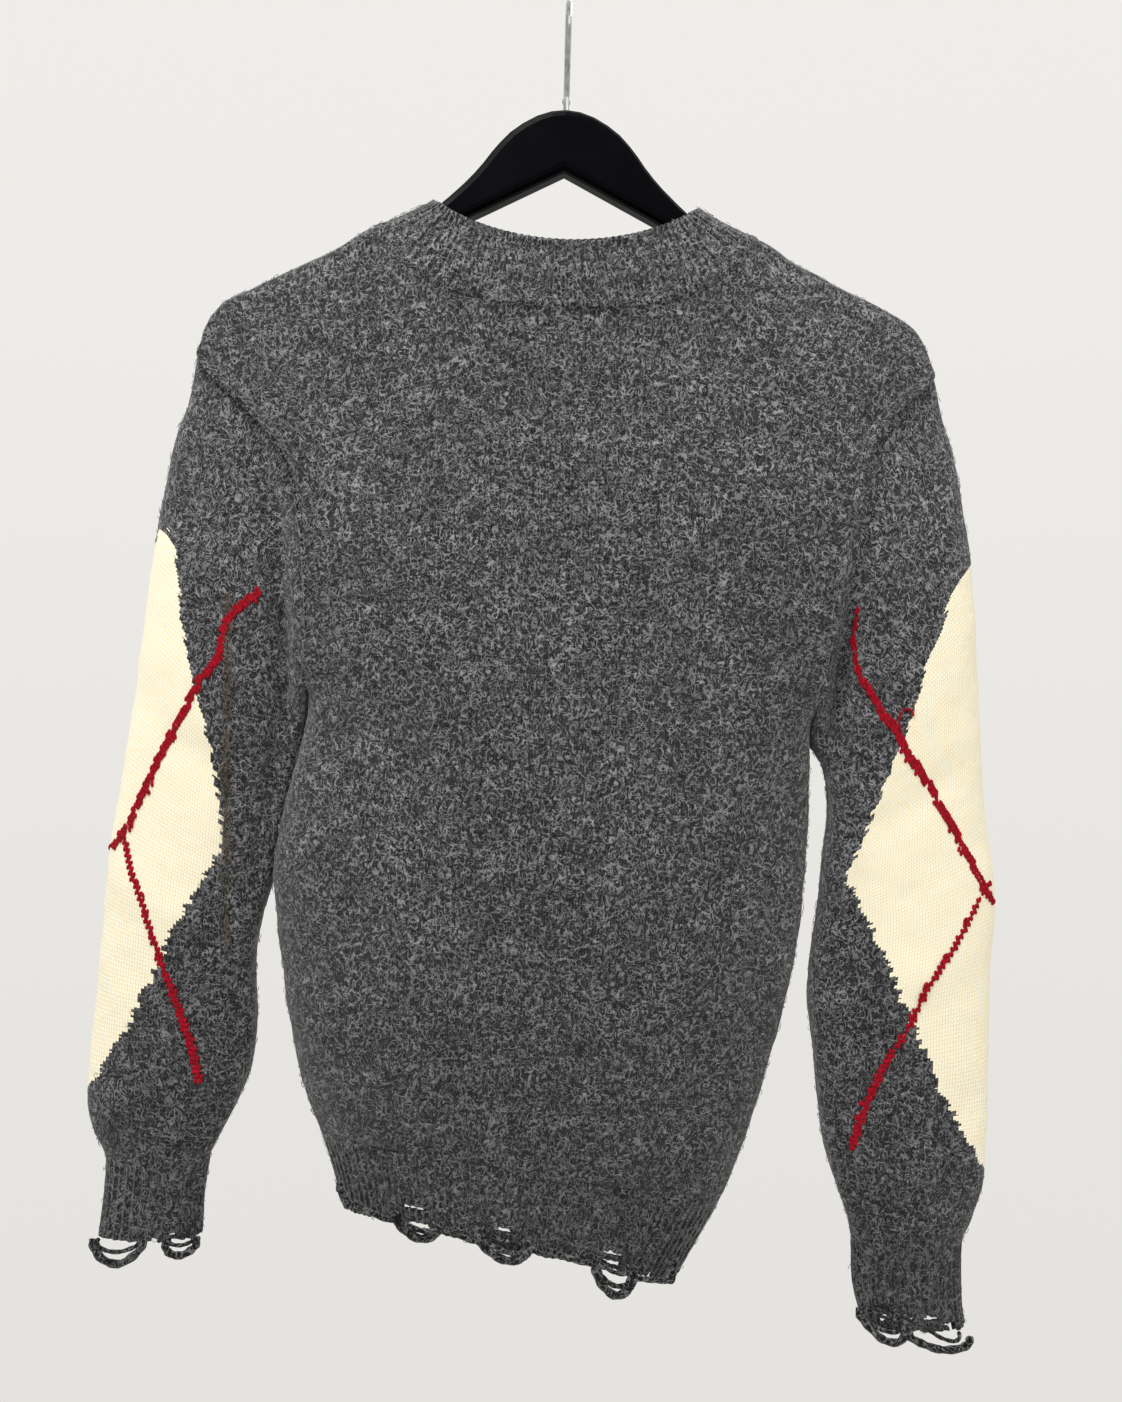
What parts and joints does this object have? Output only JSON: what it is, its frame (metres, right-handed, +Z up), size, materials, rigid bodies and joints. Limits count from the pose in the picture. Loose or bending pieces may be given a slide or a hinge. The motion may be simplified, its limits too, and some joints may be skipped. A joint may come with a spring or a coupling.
{
  "type": "wool sweater on a hanger",
  "caption": "Grey wool crew-neck sweater with argyle sleeves and laddered hem and cuffs, hung back-outwards on a black shaped hanger with a wire hook.",
  "frame": {"origin": "underside of the hook's arc, where it rests on a rail", "axes": "+Z up, -Y towards the sweater's back, +X towards the wearer's right"},
  "size_m": [0.5464, 0.0772, 0.8116],
  "materials": {
    "grey_wool": "brushed melange knit with loose fibres",
    "argyle_wool": "grey melange knit with a cream inlaid diamond",
    "cream_wool": "smooth fine knit",
    "red_wool": "stitched overcheck line",
    "black_lacquer": "satin black",
    "chrome_wire": "polished"
  },
  "bodies": {
    "root": {"back_panel": "grey_wool", "front_panel": "grey_wool", "hem_rib_back": "grey_wool", "hem_rib_front": "grey_wool", "neck_rib": "grey_wool", "sleeve_left": "argyle_wool", "cuff_left": "grey_wool", "sleeve_right": "argyle_wool", "cuff_right": "grey_wool", "hanger_body": "black_lacquer", "hanger_hook": "chrome_wire"}
  },
  "joints": []
}
